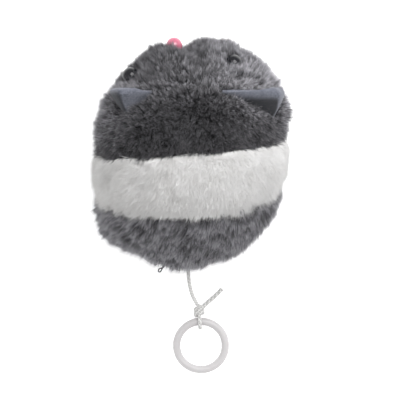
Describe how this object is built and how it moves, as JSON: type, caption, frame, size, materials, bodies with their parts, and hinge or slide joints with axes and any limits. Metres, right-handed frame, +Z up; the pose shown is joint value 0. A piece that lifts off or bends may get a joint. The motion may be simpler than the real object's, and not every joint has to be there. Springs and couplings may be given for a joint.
{
  "type": "plush pull-cord mouse",
  "caption": "Round plush mouse cat toy with felt ears, a spring-driven shaker inside and a pull cord with a ring at the rear.",
  "frame": {"origin": "centre of the belly's flat patch, on the surface that the mouse rests on", "axes": "+Z up, +Y towards the nose, -Y towards the cord and ring, +X to the mouse's right"},
  "size_m": [0.0767, 0.1346, 0.0619],
  "materials": {
    "grey_plush": "long pile plush, dark grey with paler tips",
    "white_plush": "long pile plush, off-white",
    "grey_felt": "pressed felt, blue-grey",
    "black_plastic": "polished black",
    "pink_plastic": "polished pink",
    "polyester_fill": "loose polyester fibre",
    "cotton_cloth": "plain woven cotton",
    "case_plastic": "moulded, fine matt",
    "gear_plastic": "natural acetal, satin",
    "steel": "drawn, bright",
    "zinc": "die cast zinc, dull grey",
    "braided_cord": "braided polyester, off-white",
    "ring_plastic": "translucent white, satin"
  },
  "bodies": {
    "mouse": {"face_panel": "grey_plush", "crown_panel": "grey_plush", "middle_band": "white_plush", "rear_panel": "grey_plush", "left_ear": "grey_felt", "right_ear": "grey_felt", "left_eye": "black_plastic", "right_eye": "black_plastic", "nose": "pink_plastic", "left_eye_washer": "gear_plastic", "right_eye_washer": "gear_plastic", "nose_washer": "gear_plastic", "stuffing": "polyester_fill", "catnip_pouch": "cotton_cloth", "case_base": "case_plastic", "case_cover": "case_plastic", "case_screw_1": "steel", "case_screw_2": "steel", "case_screw_3": "steel", "case_screw_4": "steel", "cord_bush": "gear_plastic", "drum_axle": "steel", "idler_axle": "steel", "feed_cord": "braided_cord", "power_spring": "steel"},
    "drum": {"cord_drum": "gear_plastic", "wound_cord": "braided_cord"},
    "idler": {"idler_gear": "gear_plastic"},
    "weight": {"weight_pinion": "gear_plastic", "eccentric_weight": "zinc", "weight_axle": "steel"},
    "pull": {"pull_cord": "braided_cord", "cord_knot": "braided_cord", "cord_loop": "braided_cord", "cord_end": "braided_cord"},
    "ring": {"pull_ring": "ring_plastic"}
  },
  "joints": [
    {"name": "cord_pull", "type": "slide", "parent": "mouse", "child": "pull", "axis": [0, -1, 0], "range_m": [0, 0.25], "deforming": ["pull_cord"]},
    {"name": "drum_spin", "type": "hinge", "parent": "mouse", "child": "drum", "pos_m": [0.0059, -0.01, 0.025], "axis": [0, 0, 1], "range_deg": [0, 1584], "stiffness_Nm_per_rad": 0.00016, "springref_deg": -315.13, "deforming": ["wound_cord", "power_spring"]},
    {"name": "idler_spin", "type": "hinge", "parent": "mouse", "child": "idler", "pos_m": [0.00077, 0.0041, 0.022], "axis": [0, 0, 1], "range_deg": [-6336, 0]},
    {"name": "weight_spin", "type": "hinge", "parent": "mouse", "child": "weight", "pos_m": [0.00765, 0.01393, 0.025], "axis": [0, 0, 1], "range_deg": [0, 19008]},
    {"name": "ring_swing", "type": "hinge", "parent": "pull", "child": "ring", "pos_m": [0.0003, -0.0672, 0.0034], "axis": [-1, 0, 0], "range_deg": [-60, 110]}
  ],
  "couplings": [
    {"joint": "drum_spin", "follows": "cord_pull", "rad_per_m": 110.5},
    {"joint": "idler_spin", "follows": "cord_pull", "rad_per_m": -441.99},
    {"joint": "weight_spin", "follows": "cord_pull", "rad_per_m": 1326}
  ]
}
